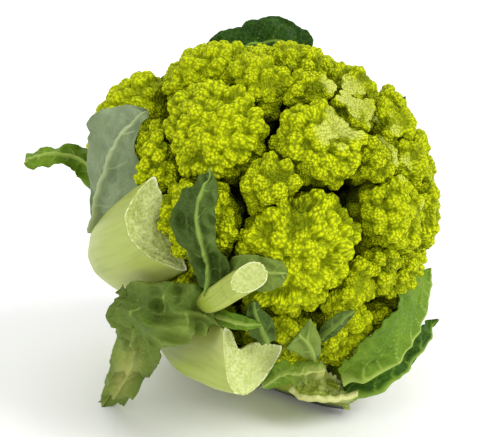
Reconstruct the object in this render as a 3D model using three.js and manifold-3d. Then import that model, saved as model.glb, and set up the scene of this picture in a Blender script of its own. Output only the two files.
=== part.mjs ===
// A trimmed green cauliflower lying on its side: main stem, florets, cut leaf stalks and leaves.
// Millimetres, +Z up. Everything is laid out from the centre of the curd dome, and the whole
// group is moved at the end so that its origin is the middle of its footprint on the table.
import * as THREE from "three";
import { mergeVertices } from "three/addons/utils/BufferGeometryUtils.js";
import Module from "manifold-3d";

// ---------------------------------------------------------------- driving dimensions
const domeRadius = 81; // curd surface, from the dome centre
const domeHeight = 90; // dome centre above the table
const growth = new THREE.Vector3(0.6, -0.489, 0.633).normalize(); // stem to top of the curd
const branchDepth = 25; // florets branch this far behind the dome centre
const crownRadius = 30; // fleshy top of the stem that carries the florets
const stemCut = 98; // cut end of the stem, behind the dome centre
const stemRadius = 20;
const gap = 0.3; // clearance between neighbouring pieces
const stalkRadius = 9; // widest floret stalk
const fullness = 1.22; // how far a floret would swell past its seat if nothing pressed on it
const roundness = 9; // how tightly a floret fills the corners between its neighbours

// florets: [bearing, height, seat radius, reach], degrees about the dome centre, bearing 0 to the
// right. Reach is the distance of the outer surface, where it isn't the dome radius.
const florets = [
  [-127, 44, 27], [-67, 40, 25], [-84, -7, 32], [-41, 5, 22], [-58, -37, 18], [-62, -13, 15],
  [-35, -18, 14], [-38, -33, 14], [-50, -8, 13], [-20, 4, 18], [-24, 22, 16], [-20, 37, 15],
  [-30, 55, 14], [-46, 46, 13], [-47, 30, 13], [-163, 64, 19, 83], [-104, 66, 20], [-58, 75, 14],
  [-67, 59, 13], [180, 32, 21, 91], [-148, 25, 18], [-91, 24, 13], [-17, -28, 17], [-88, -33, 17],
  [-118, 8, 20], [100, 60, 22, 77], [46, 41, 22, 78], [12, 16, 19], [14, -12, 20], [46, -8, 25],
  [132, 38, 22], [10, -44, 19], [-40, -58, 17], [83, 20, 25], [14, 61, 19, 75], [-1, 40, 15, 80],
  [-129, -22, 22], [-154, 2, 18], [-88, -57, 17],
];

// Stations run from the stem to the tip through the middle of the section. left and right are
// the half widths seen from outside with the tip up, thick is the midrib, edge the blade, and
// bend how far the edges curl towards the head, in radians.
const stalks = {
  left_stalk: {
    path: [[-60, 34, -57], [-75, -1, -28], [-71, -30, -9], [-61, -50, 3], [-50, -63, 13]],
    left: [13, 15.5, 18.5, 19, 18], right: [13, 14.5, 22.5, 24.5, 24],
    outward: [[-0.81, 0.12, -0.58], [-0.99, 0.13, -0.05], [-0.96, -0.26, 0.02],
      [-0.84, -0.54, 0.01], [-0.76, -0.65, -0.03]],
    thick: [15, 17, 19, 21, 21], edge: 5, bend: 0.15, ribShare: 1, steps: 9, across: 6,
  },
  lower_stalk: {
    path: [[-58, 32, -62], [-47, -23, -53], [-35, -50, -51], [-21, -70, -47], [-12, -83, -41]],
    left: [12, 12.5, 13, 14, 13], right: [12, 11.5, 12.5, 13, 18],
    outward: [[-0.51, -0.3, -0.81], [-0.76, -0.41, -0.51], [-0.65, -0.52, -0.55],
      [-0.63, -0.6, -0.5], [-0.25, -0.55, -0.8]],
    thick: [13, 16, 20, 23, 24], edge: 7, bend: 0.5, ribShare: 1, steps: 9, across: 6,
  },
  table_stalk: {
    path: [[-46, 40, -83], [-18, 16, -84], [6, -10, -82], [28, -29, -79], [42, -38, -78]],
    left: [9, 13, 15, 15, 12], right: [9, 13, 15, 15, 12],
    outward: [[0, 0, -1], [0, 0, -1], [0, 0, -1], [0.05, -0.05, -1], [0.1, -0.1, -0.99]],
    thick: [10, 13, 16, 22, 21], edge: 5, bend: 0.25, ribShare: 1, steps: 8, across: 4,
  },
  small_stalk: {
    path: [[-41, -36, -37], [-26, -79, -16], [-16, -86, -7], [-7, -92, 1]],
    left: [5, 5.5, 6.5, 7], right: [5, 6, 7, 7],
    outward: [[-0.62, -0.55, -0.56], [-0.72, -0.58, -0.38], [-0.56, -0.83, -0.03],
      [-0.53, -0.85, 0]],
    thick: [7, 8, 9, 9], edge: 3, bend: 0.4, ribShare: 1, steps: 7, across: 4,
  },
  right_back_stalk: {
    path: [[-46, 44, -66], [-16, 54, -80], [20, 50, -84], [44, 40, -80], [60, 32, -68]],
    left: [9, 13, 16, 16, 15], right: [9, 13, 16, 16, 15],
    outward: [[0, 0.29, -0.96], [0.12, 0.29, -0.95], [0.24, 0.29, -0.92], [0.37, 0.29, -0.88],
      [0.47, 0.28, -0.84]],
    thick: [11, 13, 15, 15, 14], edge: 4, bend: 0.4, ribShare: 1, steps: 8, across: 4,
  },
  upper_left_stalk: {
    path: [[-60, 42, -48], [-72, 46, -32], [-78, 50, -16], [-77, 52, -4]],
    left: [8, 12, 14, 13], right: [8, 12, 14, 13],
    outward: [[-0.69, 0.48, -0.55], [-0.79, 0.5, -0.35], [-0.83, 0.53, -0.17],
      [-0.83, 0.56, -0.04]],
    thick: [10, 13, 14, 12], edge: 4, bend: 0.4, ribShare: 1, steps: 6, across: 4,
  },
};

const leaves = {
  top_leaf: {
    path: [[-58, 56, -52], [-68, 70, -20], [-62, 72, 18], [-37, 58, 51], [-20, 58, 61], [0, 56, 68],
      [15, 51, 67], [21, 46, 63]],
    left: [6, 14, 18, 14, 16.5, 18, 12.5, 2], right: [6, 14, 18, 7.5, 11.5, 12.5, 9.5, 2],
    outward: [[-0.6, 0.58, -0.54], [-0.5, 0.85, -0.15], [-0.2, 0.97, 0.1], [0.52, 0.81, -0.25],
      [0.31, 0.79, -0.53], [0.24, 0.8, -0.55], [0.21, 0.75, -0.63], [0.45, 0.78, -0.43]],
    thick: [10, 8, 6, 4, 4, 4, 3, 2], edge: 2, bend: 0.2, ribShare: 0.3, steps: 12, across: 6,
  },
  back_leaf: {
    path: [[-40, 60, -46], [-4, 92, -24], [36, 86, 4], [58, 62, 28], [66, 37, 43]],
    left: [7, 17, 17, 9, 1], right: [7, 17, 17, 7, 1],
    outward: [[-0.47, 0.7, -0.54], [-0.04, 0.97, -0.25], [0.39, 0.92, 0.04], [0.65, 0.69, 0.31],
      [0.76, 0.43, 0.49]],
    thick: [9, 7, 5, 3, 2], edge: 1.6, bend: 0.5, ribShare: 0.3, steps: 9, across: 4,
  },
  left_leaf: {
    path: [[-79, -30, -3], [-76, -32, 11], [-71, -32, 23], [-66, -34, 34], [-62, -34, 42],
      [-57, -33, 48], [-53, -31, 52]],
    left: [5.5, 8.5, 15, 21, 19, 12, 1.5], right: [5, 10.5, 18.5, 14, 7, 3.5, 1.5],
    outward: [[-0.78, -0.61, 0.11], [-0.71, -0.69, 0.16], [-0.62, -0.76, 0.18], [-0.6, -0.76, 0.25],
      [-0.48, -0.79, 0.38], [-0.29, -0.85, 0.44], [0, -0.95, 0.31]],
    thick: [6, 5, 4, 4, 3, 3, 2], edge: 2, bend: 0.15, ribShare: 0.3, steps: 9, across: 6,
  },
  curled_leaf: {
    path: [[-79, 1, 4], [-84, 2, 18], [-91, 1, 23], [-99, 0, 23], [-107, -1, 22], [-113, -2, 20]],
    left: [3.5, 7, 6, 4.5, 5, 3], right: [3.5, 8, 6.5, 5.5, 6.5, 5],
    outward: [[-0.42, -0.9, -0.13], [0.31, -0.94, 0.17], [0.26, -0.79, 0.56], [0.06, -0.68, 0.73],
      [-0.09, -0.64, 0.77], [-0.16, -0.76, 0.62]],
    thick: [4, 4, 3.5, 3, 3, 2], edge: 1.6, bend: 0.4, ribShare: 0.3, steps: 9, across: 4,
  },
  inner_leaf: {
    path: [[-27, -79, -16], [-27, -81, -2], [-28, -81, 9], [-30, -78, 20], [-27, -73, 28],
      [-24, -67, 34]],
    left: [2.5, 7, 8.5, 12.5, 7.5, 2], right: [2.5, 9.5, 6, 7.5, 5.5, 1],
    outward: [[-0.34, -0.92, -0.19], [-0.16, -0.98, -0.1], [-0.22, -0.96, 0.15],
      [-0.25, -0.88, 0.4], [-0.23, -0.73, 0.64], [-0.37, -0.57, 0.73]],
    thick: [6, 5, 4, 4, 3, 2], edge: 1.6, bend: 0.15, ribShare: 0.3, steps: 8, across: 4,
  },
  draped_leaf: {
    path: [[-23, -78, -26], [-31, -80, -21], [-41, -80, -21], [-52, -76, -20], [-63, -64, -22]],
    left: [5.5, 10, 14, 13.5, 9], right: [4.5, 10.5, 13, 11, 8],
    outward: [[0.31, -0.95, 0.03], [0.24, -0.87, 0.43], [-0.17, -0.88, 0.44], [-0.56, -0.73, 0.4],
      [-0.65, -0.56, 0.52]],
    thick: [5, 5, 4, 4, 4], edge: 1.8, bend: 0.2, ribShare: 0.3, steps: 6, across: 4,
    fold: {
      path: [[-55, -71, -18], [-57, -70, -29], [-57, -64, -43], [-63, -49, -62], [-71, -34, -79],
        [-79, -21, -91]],
      left: [8.5, 11.5, 11, 8.5, 6.5, 3], right: [12.5, 14.5, 11.5, 9.5, 5.5, 1.5],
      outward: [[-0.56, -0.83, 0.03], [-0.55, -0.81, -0.18], [-0.39, -0.8, -0.45],
        [-0.3, -0.78, -0.55], [-0.36, -0.76, -0.53], [-0.44, -0.75, -0.49]],
      thick: [4, 4, 4, 3.5, 3, 2.5], edge: 1.8, bend: 0.2, ribShare: 0.3, steps: 8, across: 4,
    },
  },
  collar_leaf: {
    path: [[-23, -73, -12], [-14, -79, -3], [-4, -83, -2], [5, -82, -3]],
    left: [4, 6.5, 6.5, 4], right: [4, 6.5, 8, 4],
    outward: [[-0.58, -0.8, 0.14], [-0.5, -0.84, 0.21], [-0.16, -0.94, 0.3], [0.13, -0.9, 0.43]],
    thick: [4, 4, 3, 2.5], edge: 1.6, bend: 0.3, ribShare: 0.3, steps: 6, across: 4,
  },
  right_leaf: {
    path: [[32, -49, -66], [46, -51, -61], [58, -44, -52], [66, -33, -43], [70, -22, -35],
      [72, -13, -27]],
    left: [7.5, 16.5, 20, 21.5, 16, 1.5], right: [3.5, 5.5, 5, 5, 2.5, 1.5],
    outward: [[0.1, -0.8, -0.59], [0.38, -0.83, -0.4], [0.73, -0.67, -0.14], [0.85, -0.52, 0.07],
      [0.89, -0.41, 0.21], [0.74, -0.51, 0.45]],
    thick: [6, 5, 4, 4, 3, 2], edge: 1.6, bend: 0.2, ribShare: 0.3, steps: 9, across: 4,
  },
  outer_right_leaf: {
    path: [[35, -44, -77], [48, -44, -72], [58, -38, -66], [66, -30, -60], [73, -22, -54],
      [77, -17, -51]],
    left: [6, 11, 12.5, 11.5, 5.5, 1.5], right: [4, 5, 5, 5, 3, 1],
    outward: [[0.12, -0.92, -0.37], [0.34, -0.9, -0.27], [0.63, -0.77, -0.07], [0.74, -0.67, 0.01],
      [0.75, -0.65, 0.1], [0.58, -0.66, 0.48]],
    thick: [5, 5, 4, 4, 3, 2], edge: 1.6, bend: 0.2, ribShare: 0.3, steps: 8, across: 4,
  },
  small_leaf: {
    path: [[18, -76, -46], [16, -79, -37], [12, -80, -32], [7, -79, -29]],
    left: [1.5, 4.5, 4.5, 1.5], right: [1.5, 7, 8, 3.5],
    outward: [[0, -0.92, -0.39], [0.25, -0.95, -0.17], [0.24, -0.92, 0.32], [0.16, -0.85, 0.5]],
    thick: [3, 3, 2.5, 2], edge: 1.6, bend: 0.2, ribShare: 0.3, steps: 6, across: 4,
  },
  pointed_leaf: {
    path: [[20, -75, -35], [24, -75, -30], [29, -73, -26], [34, -69, -25]],
    left: [2, 4, 3, 0.5], right: [2, 4, 4, 1],
    outward: [[-0.24, -0.96, 0.12], [0.03, -0.98, 0.17], [0.31, -0.86, 0.4], [0.25, -0.63, 0.74]],
    thick: [3, 3, 2.5, 2], edge: 1.6, bend: 0.2, ribShare: 0.3, steps: 6, across: 4,
  },
  torn_leaf: {
    path: [[-4, -68, -60], [5, -75, -50], [13, -76, -48], [22, -76, -47]],
    left: [2.5, 5, 4.5, 2.5], right: [2.5, 6, 6, 3.5],
    outward: [[-0.63, -0.77, -0.03], [-0.37, -0.92, -0.13], [-0.07, -1, 0], [0.01, -0.99, 0.14]],
    thick: [3, 3, 2.5, 2], edge: 1.6, bend: 0.2, ribShare: 0.3, steps: 6, across: 4,
  },
  short_leaf: {
    path: [[-28, -71, -25], [-19, -78, -24], [-11, -82, -24], [-4, -84, -24]],
    left: [3, 3.5, 3, 1], right: [3, 3.5, 3, 1],
    outward: [[-0.62, -0.75, 0.24], [-0.55, -0.83, 0.06], [-0.38, -0.93, -0], [-0.26, -0.9, 0.36]],
    thick: [3, 3, 2.5, 2], edge: 1.6, bend: 0.2, ribShare: 0.3, steps: 5, across: 4,
  },
  bract_leaf: {
    path: [[-2, -81, -34], [-5, -82, -27], [-8, -81, -20], [-8, -79, -16]],
    left: [3, 5.5, 3.5, 1], right: [4, 6, 4, 1.5],
    outward: [[0.06, -0.98, -0.21], [0.2, -0.98, 0.03], [0.14, -0.93, 0.33], [-0, -0.86, 0.51]],
    thick: [3, 3, 3, 2], edge: 1.6, bend: 0.2, ribShare: 0.3, steps: 5, across: 4,
  },
};

// ---------------------------------------------------------------- materials
const finish = (color, roughness) => new THREE.MeshStandardMaterial({ color, roughness, metalness: 0 });
const curd = finish(0xa9b81c, 0.75);
const stemFlesh = finish(0xc3cf8e, 0.6);
const stalkSkin = finish(0xa9bb62, 0.5);
const leafBlade = finish(0x5b7a45, 0.55);

// ---------------------------------------------------------------- solids
const wasm = await Module();
wasm.setup();

function solid(geometry) {
  geometry.deleteAttribute("normal");
  geometry.deleteAttribute("uv");
  const merged = mergeVertices(geometry, 1e-4);
  return new wasm.Manifold(new wasm.Mesh({
    numProp: 3,
    vertProperties: merged.attributes.position.array,
    triVerts: new Uint32Array(merged.index.array),
  }));
}

// the largest connected piece, because a cut can leave loose slivers
function largest(body) {
  const pieces = body.decompose();
  return pieces.reduce((best, piece) => (piece.volume() > best.volume() ? piece : best));
}

function toMesh(name, body, material) {
  const { vertProperties, triVerts } = body.getMesh();
  const geometry = new THREE.BufferGeometry();
  geometry.setAttribute("position", new THREE.BufferAttribute(vertProperties, 3));
  geometry.setIndex(new THREE.BufferAttribute(triVerts, 1));
  const faceted = geometry.toNonIndexed();
  faceted.computeVertexNormals();
  const mesh = new THREE.Mesh(faceted, material);
  mesh.name = name;
  return mesh;
}

// ---------------------------------------------------------------- stem
const branchPoint = growth.clone().multiplyScalar(-branchDepth);

function stemSolid(grow) {
  const rings = [
    [stemRadius - 2.5, -stemCut], [stemRadius - 0.5, 2 - stemCut], [stemRadius, -80],
    [stemRadius + 2, -62], [crownRadius - 4.5, -46], [crownRadius - 1, -33],
    [crownRadius, -branchDepth], [crownRadius - 2, -14], [crownRadius - 8, -5], [12, 2.5],
  ];
  const profile = [
    new THREE.Vector2(0, -stemCut - grow),
    ...rings.map(([radius, y]) => new THREE.Vector2(radius + grow, y - (y <= -stemCut ? grow : 0))),
    new THREE.Vector2(0, crownRadius - branchDepth + grow),
  ];
  const lathe = new THREE.LatheGeometry(profile, 18);
  lathe.applyQuaternion(new THREE.Quaternion().setFromUnitVectors(new THREE.Vector3(0, 1, 0), growth));
  return solid(lathe);
}

// ---------------------------------------------------------------- florets
function floretSeat([bearing, height, seatRadius, reach = domeRadius]) {
  const radius = seatRadius * fullness;
  const turn = THREE.MathUtils.degToRad(bearing);
  const rise = THREE.MathUtils.degToRad(height);
  const axis = new THREE.Vector3(
    Math.cos(rise) * Math.cos(turn), Math.cos(rise) * Math.sin(turn), Math.sin(rise));
  const centre = axis.multiplyScalar(reach - radius);
  const branch = centre.clone().sub(branchPoint);
  return { centre, radius, length: branch.length(), branch: branch.normalize() };
}

// planes through the branch point that part two neighbouring florets
function partings(seat, seats) {
  const planes = [];
  for (const other of seats) {
    const angle = seat.branch.angleTo(other.branch);
    if (other === seat || angle > 1.4) continue;
    const reach = seat.radius / seat.length;
    const share = reach / (reach + other.radius / other.length);
    const across = other.branch.clone().addScaledVector(seat.branch, -Math.cos(angle)).normalize();
    const split = angle * share;
    const normal = across.multiplyScalar(Math.cos(split))
      .addScaledVector(seat.branch, -Math.sin(split));
    planes.push({ normal, split, room: seat.length * Math.sin(split) - gap / 2 });
  }
  return planes;
}

// a ball pressed flat against its neighbours, with a tapered stalk down to the crown
function floretSolid(seat, seats) {
  const planes = partings(seat, seats);
  const ball = new THREE.IcosahedronGeometry(1, seat.radius > 17 ? 2 : 1);
  const position = ball.attributes.position;
  const way = new THREE.Vector3();
  for (let i = 0; i < position.count; i += 1) {
    way.fromBufferAttribute(position, i).normalize();
    let crowding = seat.radius ** -roundness;
    for (const { normal, room } of planes) {
      const facing = way.dot(normal);
      if (facing > 0.02) crowding += (room / facing) ** -roundness;
    }
    way.multiplyScalar(crowding ** (-1 / roundness)).add(seat.centre);
    position.setXYZ(i, way.x, way.y, way.z);
  }
  const narrowest = Math.min(...planes.map((plane) => plane.split));
  const start = crownRadius + gap + 0.1;
  const thick = (reach) => Math.min(stalkRadius, 0.8 * reach * Math.sin(narrowest));
  const length = seat.length - start;
  const stalk = new THREE.CylinderGeometry(thick(seat.length), thick(start), length, 7);
  stalk.applyQuaternion(new THREE.Quaternion().setFromUnitVectors(new THREE.Vector3(0, 1, 0), seat.branch));
  const middle = branchPoint.clone().addScaledVector(seat.branch, start + length / 2);
  stalk.translate(middle.x, middle.y, middle.z);
  return solid(ball).add(solid(stalk));
}

// ---------------------------------------------------------------- leaves and stalks
const vector = (point) => new THREE.Vector3(...point);
const smoothCurve = (points) => new THREE.CatmullRomCurve3(points, false, "catmullrom", 0.5);

// a blade lofted along its path: an inner and an outer row of points at each step
function leafSolid(leaf, grow = 0) {
  const path = smoothCurve(leaf.path.map(vector));
  const outward = smoothCurve(leaf.outward.map(vector));
  const widths = smoothCurve(leaf.path.map((_, i) => new THREE.Vector3(leaf.left[i], leaf.right[i], leaf.thick[i])));
  const { steps, across } = leaf;
  const points = [];
  for (let i = 0; i <= steps; i += 1) {
    const t = i / steps;
    const middle = path.getPoint(t);
    const along = path.getPoint(Math.min(1, t + 0.01)).sub(path.getPoint(Math.max(0, t - 0.01))).normalize();
    const side = along.clone().cross(outward.getPoint(t)).normalize();
    const out = side.clone().cross(along);
    if (i === 0) middle.addScaledVector(along, -grow);
    if (i === steps) middle.addScaledVector(along, grow);
    const [left, right, thick] = widths.getPoint(t).toArray();
    const rows = [[], []];
    for (let j = 0; j <= across; j += 1) {
      const s = (j / across) * 2 - 1;
      const width = (s < 0 ? left : right) + grow;
      const radius = width / leaf.bend;
      const angle = Math.abs(s) * leaf.bend;
      const swell = Math.max(0, 1 - (Math.abs(s) / leaf.ribShare) ** 2);
      const depth = leaf.edge + (Math.max(thick, leaf.edge) - leaf.edge) * swell;
      const inner = -radius * (1 - Math.cos(angle)) - thick / 2 - grow;
      const offset = Math.sign(s) * radius * Math.sin(angle);
      const base = middle.clone().addScaledVector(side, offset);
      rows[0].push(base.clone().addScaledVector(out, inner));
      rows[1].push(base.clone().addScaledVector(out, inner + depth + 2 * grow));
    }
    points.push(...rows[0], ...rows[1].reverse());
  }
  const ring = 2 * (across + 1);
  const faces = [];
  for (let i = 0; i < steps; i += 1) {
    for (let k = 0; k < ring; k += 1) {
      const a = i * ring + k;
      const b = i * ring + ((k + 1) % ring);
      faces.push(a, a + ring, b, b, a + ring, b + ring);
    }
  }
  for (let j = 0; j < across; j += 1) {
    const [a, b, c, d] = [j, j + 1, ring - 2 - j, ring - 1 - j];
    const last = steps * ring;
    faces.push(a, b, c, a, c, d, last + a, last + c, last + b, last + a, last + d, last + c);
  }
  const geometry = new THREE.BufferGeometry().setFromPoints(points);
  geometry.setIndex(faces);
  const blade = solid(geometry);
  return leaf.fold ? blade.add(leafSolid(leaf.fold, grow)) : blade;
}

// ---------------------------------------------------------------- assembly
const cauliflower = new THREE.Group();
const overTable = solid(new THREE.BoxGeometry(400, 400, 400).translate(0, 0, 200 - domeHeight));
const addPiece = (name, body, material) => {
  cauliflower.add(toMesh(name, largest(body.intersect(overTable)), material));
};

addPiece("main_stem", stemSolid(0), stemFlesh);
const taken = [stemSolid(gap)]; // grown copies of the pieces already placed
for (const [name, leaf] of Object.entries({ ...stalks, ...leaves })) {
  const body = taken.reduce((rest, other) => rest.subtract(other), leafSolid(leaf));
  addPiece(name, body, name in stalks ? stalkSkin : leafBlade);
  taken.push(leafSolid(leaf, gap));
}
const seats = florets.map(floretSeat);
seats.forEach((seat, i) => {
  const body = taken.reduce((rest, other) => rest.subtract(other), floretSolid(seat, seats));
  addPiece(`floret_${String(i + 1).padStart(2, "0")}`, body, curd);
});

const box = new THREE.Box3().setFromObject(cauliflower);
const footprint = box.getCenter(new THREE.Vector3());
cauliflower.position.set(-footprint.x, -footprint.y, domeHeight);

export default cauliflower;
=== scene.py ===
import math

import bpy
import numpy as np
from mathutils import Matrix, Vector
from mathutils.kdtree import KDTree


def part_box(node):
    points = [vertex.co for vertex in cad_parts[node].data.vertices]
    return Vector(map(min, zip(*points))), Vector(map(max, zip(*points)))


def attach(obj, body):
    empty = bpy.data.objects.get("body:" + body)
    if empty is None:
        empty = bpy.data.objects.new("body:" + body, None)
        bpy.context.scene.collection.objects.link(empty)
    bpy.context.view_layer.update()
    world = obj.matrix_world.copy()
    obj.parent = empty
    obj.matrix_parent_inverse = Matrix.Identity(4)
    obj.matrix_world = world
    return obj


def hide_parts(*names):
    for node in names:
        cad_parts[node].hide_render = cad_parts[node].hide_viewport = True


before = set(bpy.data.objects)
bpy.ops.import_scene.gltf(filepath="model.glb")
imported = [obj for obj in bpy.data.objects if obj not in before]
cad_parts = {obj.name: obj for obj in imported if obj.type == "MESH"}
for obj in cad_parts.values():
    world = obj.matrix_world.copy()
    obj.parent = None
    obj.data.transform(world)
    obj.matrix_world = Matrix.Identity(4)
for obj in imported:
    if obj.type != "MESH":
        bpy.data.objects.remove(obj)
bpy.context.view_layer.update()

mm = 0.001
stemFromHead = Vector((-73.198, -17.532, -75.781)) * mm  # low corner of the stem, from the head centre
head = Vector(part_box("main_stem")[0]) - stemFromHead
growth = Vector((0.6, -0.489, 0.633)).normalized()  # from the stem to the top of the curd


view = {"elevation": 18, "distance": 0.533, "lens": 85, "sensor": 36, "near": 0.01,
        "aimRight": -0.0136, "aimUp": -0.0059}


def makeCamera():
    tilt = math.radians(view["elevation"])
    up = Vector((0, math.sin(tilt), math.cos(tilt)))
    toward = Vector((0, -math.cos(tilt), math.sin(tilt)))
    aim = head + Vector((view["aimRight"], 0, 0)) + up * view["aimUp"]
    bpy.ops.object.select_all(action="DESELECT")
    bpy.ops.object.camera_add(location=aim + toward * view["distance"],
                              rotation=(math.pi / 2 - tilt, 0, 0))
    camera = bpy.context.object
    camera.data.lens = view["lens"]
    camera.data.sensor_width = view["sensor"]
    camera.data.clip_start = view["near"]
    bpy.context.scene.camera = camera


studio = {
    "sky": 0.86,
    "floor": (0.95, 0.95, 0.945), "floorSide": 12,
    "lamps": [  # where each shines from, strength, spread in degrees
        ((0.85, -0.35, 0.75), 1.95, 32),
        ((-0.6, -0.75, 0.5), 0.55, 70),
        ((0.1, 0.9, 0.9), 0.45, 60),
    ],
}


def makeStudio():
    scene = bpy.context.scene
    scene.view_settings.view_transform = "Standard"
    world = bpy.data.worlds.new("studio")
    scene.world = world
    world.use_nodes = True
    sky = world.node_tree.nodes["Background"]
    sky.inputs["Color"].default_value = (1, 1, 1, 1)
    sky.inputs["Strength"].default_value = studio["sky"]
    for source, strength, softness in studio["lamps"]:
        bpy.ops.object.light_add(type="SUN", location=head + Vector(source))
        lamp = bpy.context.object
        lamp.data.energy = strength
        lamp.data.angle = math.radians(softness)
        lamp.rotation_euler = (-Vector(source)).to_track_quat("-Z", "Y").to_euler()
    bpy.ops.mesh.primitive_plane_add(size=studio["floorSide"], location=(0, 0, 0))
    floor = bpy.context.object
    floor.name = "floor"
    paper = bpy.data.materials.new("paper")
    paper.use_nodes = True
    finish = paper.node_tree.nodes["Principled BSDF"].inputs
    finish["Base Color"].default_value = (*studio["floor"], 1)
    finish["Roughness"].default_value = 0.8
    floor.data.materials.append(paper)


makeCamera()
makeStudio()
print("camera and studio set")


def newGroup(name, inputs, outputs):
    group = bpy.data.node_groups.new(name, "ShaderNodeTree")
    for label, kind, value in inputs:
        socket = group.interface.new_socket(label, in_out="INPUT", socket_type=kind)
        if value is not None:
            socket.default_value = value
    for label, kind in outputs:
        group.interface.new_socket(label, in_out="OUTPUT", socket_type=kind)
    group.nodes.new("NodeGroupInput")
    group.nodes.new("NodeGroupOutput")
    return group


def wire(tree, kind, links=(), **settings):
    node = tree.nodes.new(kind)
    for key, value in settings.items():
        setattr(node, key, value)
    for socket, source in links:
        target = node.inputs[socket]
        if isinstance(source, bpy.types.NodeSocket):
            tree.links.new(source, target)
        else:
            target.default_value = source
    return node


def mixColour(tree, amount, first, second, blend="MIX"):
    node = wire(tree, "ShaderNodeMix", data_type="RGBA", blend_type=blend)
    for socket, source in ((node.inputs[0], amount), (node.inputs[6], first), (node.inputs[7], second)):
        if isinstance(source, bpy.types.NodeSocket):
            tree.links.new(source, socket)
        else:
            socket.default_value = source
    return node.outputs[2]


def calc(tree, operation, first, second=0.0, clamp=False):
    node = wire(tree, "ShaderNodeMath", ((0, first), (1, second)), operation=operation, use_clamp=clamp)
    return node.outputs[0]


def remap(tree, value, low, high, outLow=0.0, outHigh=1.0):
    node = wire(tree, "ShaderNodeMapRange", ((0, value), (1, low), (2, high), (3, outLow), (4, outHigh)))
    node.interpolation_type = "SMOOTHSTEP"
    return node.outputs[0]


def attribute(tree, name):
    return wire(tree, "ShaderNodeAttribute", attribute_name=name).outputs["Fac"]


def makeMottle():  # slow colour change over a surface
    group = newGroup("mottle", (("Color", "NodeSocketColor", None), ("Other", "NodeSocketColor", None),
                                ("Scale", "NodeSocketFloat", 40.0), ("Amount", "NodeSocketFloat", 0.5)),
                     (("Color", "NodeSocketColor"),))
    ins, outs = group.nodes["Group Input"].outputs, group.nodes["Group Output"].inputs
    place = wire(group, "ShaderNodeTexCoord").outputs["Object"]
    noise = wire(group, "ShaderNodeTexNoise", (("Vector", place), ("Scale", ins["Scale"]), ("Detail", 4.0)))
    mask = calc(group, "MULTIPLY", remap(group, noise.outputs["Fac"], 0.35, 0.65), ins["Amount"])
    group.links.new(mixColour(group, mask, ins["Color"], ins["Other"]), outs["Color"])
    return group


def makeSpots():  # a few small blemishes
    group = newGroup("spots", (("Color", "NodeSocketColor", None), ("Spot", "NodeSocketColor", None),
                               ("Scale", "NodeSocketFloat", 60.0), ("Size", "NodeSocketFloat", 0.12)),
                     (("Color", "NodeSocketColor"),))
    ins, outs = group.nodes["Group Input"].outputs, group.nodes["Group Output"].inputs
    place = wire(group, "ShaderNodeTexCoord").outputs["Object"]
    cells = wire(group, "ShaderNodeTexVoronoi", (("Vector", place), ("Scale", ins["Scale"])))
    chance = wire(group, "ShaderNodeSeparateColor", (("Color", cells.outputs["Color"]),)).outputs[0]
    near = calc(group, "LESS_THAN", cells.outputs["Distance"], ins["Size"])
    mask = calc(group, "MULTIPLY", near, calc(group, "GREATER_THAN", chance, 0.82))
    group.links.new(mixColour(group, mask, ins["Color"], ins["Spot"]), outs["Color"])
    return group


def makeGrain():  # fine bump
    group = newGroup("grain", (("Scale", "NodeSocketFloat", 900.0), ("Depth", "NodeSocketFloat", 0.1),
                               ("Normal", "NodeSocketVector", None)), (("Normal", "NodeSocketVector"),))
    ins, outs = group.nodes["Group Input"].outputs, group.nodes["Group Output"].inputs
    place = wire(group, "ShaderNodeTexCoord").outputs["Object"]
    noise = wire(group, "ShaderNodeTexNoise", (("Vector", place), ("Scale", ins["Scale"]), ("Detail", 3.0)))
    bump = wire(group, "ShaderNodeBump", (("Strength", ins["Depth"]), ("Distance", 0.001),
                                          ("Height", noise.outputs["Fac"]), ("Normal", ins["Normal"])))
    group.links.new(bump.outputs[0], outs["Normal"])
    return group


mottle, spots, grain = makeMottle(), makeSpots(), makeGrain()


def useGroup(tree, group, links):
    node = wire(tree, "ShaderNodeGroup", node_tree=group)
    for socket, source in links:
        if isinstance(source, bpy.types.NodeSocket):
            tree.links.new(source, node.inputs[socket])
        else:
            node.inputs[socket].default_value = source
    return node.outputs[0]


def newMaterial(name, roughness):
    material = bpy.data.materials.new(name)
    material.use_nodes = True
    shader = material.node_tree.nodes["Principled BSDF"]
    shader.inputs["Roughness"].default_value = roughness
    return material, material.node_tree, shader


curd = {
    "voxel": 1.9 * mm, "smoothing": 4, "cuts": 2,
    "core": 60 * mm,  # nothing nearer the middle than this shows
    "fullness": 0.41, "shoulder": (55 * mm, 68 * mm), "shaded": (56 * mm, 70 * mm),
    "levels": [  # attribute, spacing, height, sink
        ("lobe", 13.5 * mm, 7.4 * mm, 0.82),
        ("cluster", 7 * mm, 5.6 * mm, 0.82),
        ("granule", 2.5 * mm, 1.5 * mm, 0.8),
    ],
    "slope": 1.25, "deepest": 0.87,  # how steeply a bump falls away, and where its groove bottoms out
    "beadsPerMm": 0.6, "beadDepth": 1.2 * mm, "beadSpread": 24, "beadShift": 60,
    "underLeaf": 1.6 * mm, "leafReach": 4.5 * mm,
    "rubs": [  # middle in mm from the head centre, reach, share left standing
        ((34, -37, 65), 14, 42), ((33, -50, 56), 11, 42), ((51, -39, 50), 12, 42),
        ((26, -59, 51), 10, 50), ((58, -46, 35), 9, 60), ((68, -44, 10), 8, 72),
    ],
    "rubFrom": 65 * mm, "rubDepth": 1.3 * mm,
    # the groove, seam and deep colours are painted shade for the hollows; the bright colour is a painted
    # highlight on the granule tops
    "groove": (0.13, 0.175, 0.001, 1), "seamShade": (0.19, 0.245, 0.001, 1), "deep": (0.08, 0.105, 0.001, 1),
    "body": (0.47, 0.55, 0.002, 1), "bright": (0.68, 0.76, 0.006, 1), "rubbed": (0.66, 0.71, 0.15, 1),
    "brown": (0.10, 0.07, 0.01, 1),
}


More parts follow.
